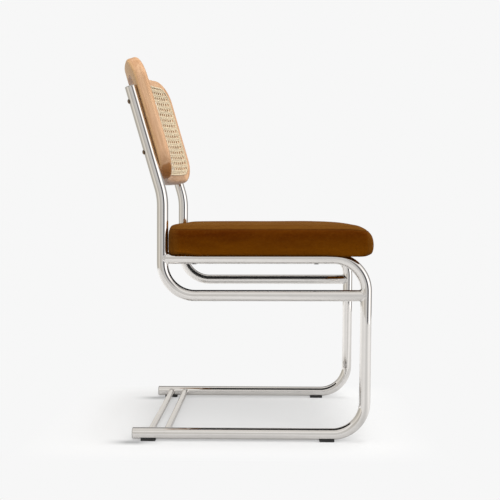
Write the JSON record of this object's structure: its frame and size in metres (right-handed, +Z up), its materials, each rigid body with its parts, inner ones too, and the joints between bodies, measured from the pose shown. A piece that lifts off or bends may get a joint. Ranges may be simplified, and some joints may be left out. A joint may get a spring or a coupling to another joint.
{
  "type": "upholstered cantilever side chair",
  "caption": "Cantilever side chair: bent chromed tube frames carry a padded velvet seat and a curved wooden back filled with woven cane.",
  "frame": {"origin": "middle of the whole chair's footprint, at floor level", "axes": "+X towards the chair's front, +Y towards its left side as seen by a person who sits in it, +Z up"},
  "size_m": [0.5736, 0.4652, 0.8552],
  "materials": {
    "tube": "polished chromed steel tube",
    "plug": "grey moulded plastic",
    "glide": "dark moulded plastic",
    "beech": "clear-finished beech, satin",
    "cane": "natural woven cane",
    "bronze": "dark bronzed steel",
    "zinc": "zinc-plated steel",
    "plywood": "unfinished birch plywood",
    "foam": "upholstery foam",
    "velvet": "amber-brown velvet",
    "lining": "black non-woven cloth"
  },
  "bodies": {
    "root": {"right_upright_tube": "tube", "left_upright_tube": "tube", "right_seat_leg_tube": "tube", "left_seat_leg_tube": "tube", "rear_base_crossbar": "tube", "front_base_crossbar": "tube", "right_upright_plug": "plug", "left_upright_plug": "plug", "right_runner_plug": "plug", "left_runner_plug": "plug", "rear_right_glide": "glide", "rear_left_glide": "glide", "front_right_glide": "glide", "front_left_glide": "glide", "back_top_rail": "beech", "back_bottom_rail": "beech", "back_right_stile": "beech", "back_left_stile": "beech", "back_frame_dowels": "beech", "cane_webbing": "cane", "cane_spline": "cane", "back_screws": "bronze", "back_inserts": "zinc", "seat_board": "plywood", "seat_foam": "foam", "seat_cover": "velvet", "seat_dust_cover": "lining", "seat_screws": "zinc", "seat_tee_nuts": "zinc"}
  },
  "joints": []
}
